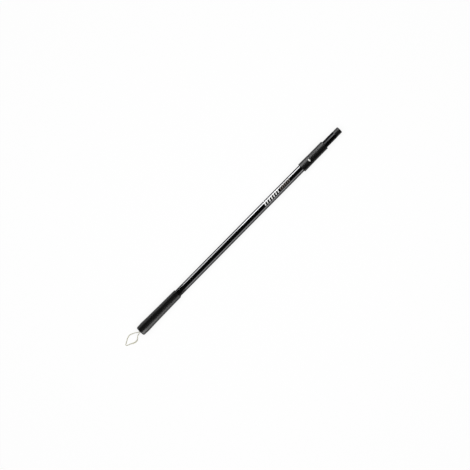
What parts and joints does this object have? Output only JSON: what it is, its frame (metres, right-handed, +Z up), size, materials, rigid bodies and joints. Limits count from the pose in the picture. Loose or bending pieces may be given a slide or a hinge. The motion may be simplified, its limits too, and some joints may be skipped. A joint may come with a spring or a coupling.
{
  "type": "telescopic window cleaning pole",
  "caption": "Closed two-section telescopic pole with a twist-lock collar, a flared rubber hand grip with a cord loop, and a round tool socket at its tip.",
  "frame": {"origin": "on the floor that the pole lies on, below the pole's axis, halfway between the butt's face and the tip", "axes": "+X along the pole from butt to tip, +Z up, the white arrow on the collar faces +Z"},
  "size_m": [1.1706, 0.0428, 0.0428],
  "materials": {
    "black_anodised_tube": "glossy black anodised and sealed aluminium tube",
    "black_anodised_inner": "satin black anodised aluminium tube",
    "grip_rubber": "soft satin black rubber",
    "black_nylon": "moulded glass-filled nylon, satin",
    "white_inlay": "white moulded plastic",
    "acetal": "natural acetal",
    "felt": "grey felt",
    "cord": "braided natural cord",
    "steel_pin": "stainless steel",
    "buffer_rubber": "soft black rubber"
  },
  "bodies": {
    "outer_section": {"outer_tube": "black_anodised_tube", "hand_grip": "grip_rubber", "butt_plug": "black_nylon", "cord_washer": "steel_pin", "hang_cord": "cord", "cord_knot": "cord", "closing_buffer": "buffer_rubber", "clamp_body": "black_nylon", "clamp_pins": "black_nylon", "index_arrow": "white_inlay"},
    "pressure_ring": {"pressure_ring": "acetal"},
    "lock_nut": {"lock_nut": "black_nylon", "wiper_ring": "felt", "wiper_cap": "black_nylon"},
    "collet": {"split_collet": "acetal"},
    "inner_section": {"inner_tube": "black_anodised_inner", "guide_bush": "acetal", "bush_pins": "steel_pin", "tool_socket": "black_nylon", "socket_pins": "steel_pin"}
  },
  "joints": [
    {"name": "nut_advance", "type": "slide", "parent": "outer_section", "child": "pressure_ring", "axis": [1, 0, 0], "range_m": [0, 0.0029]},
    {"name": "nut_twist", "type": "hinge", "parent": "pressure_ring", "child": "lock_nut", "pos_m": [0.4232, 0, 0.02142], "axis": [1, 0, 0], "range_deg": [0, 120]},
    {"name": "section_turn", "type": "hinge", "parent": "outer_section", "child": "collet", "pos_m": [0.42157, 0, 0.02142], "axis": [1, 0, 0], "continuous": true},
    {"name": "section_slide", "type": "slide", "parent": "collet", "child": "inner_section", "axis": [1, 0, 0], "range_m": [0, 0.8]}
  ],
  "couplings": [
    {"joint": "nut_twist", "follows": "nut_advance", "rad_per_m": 698.13}
  ]
}
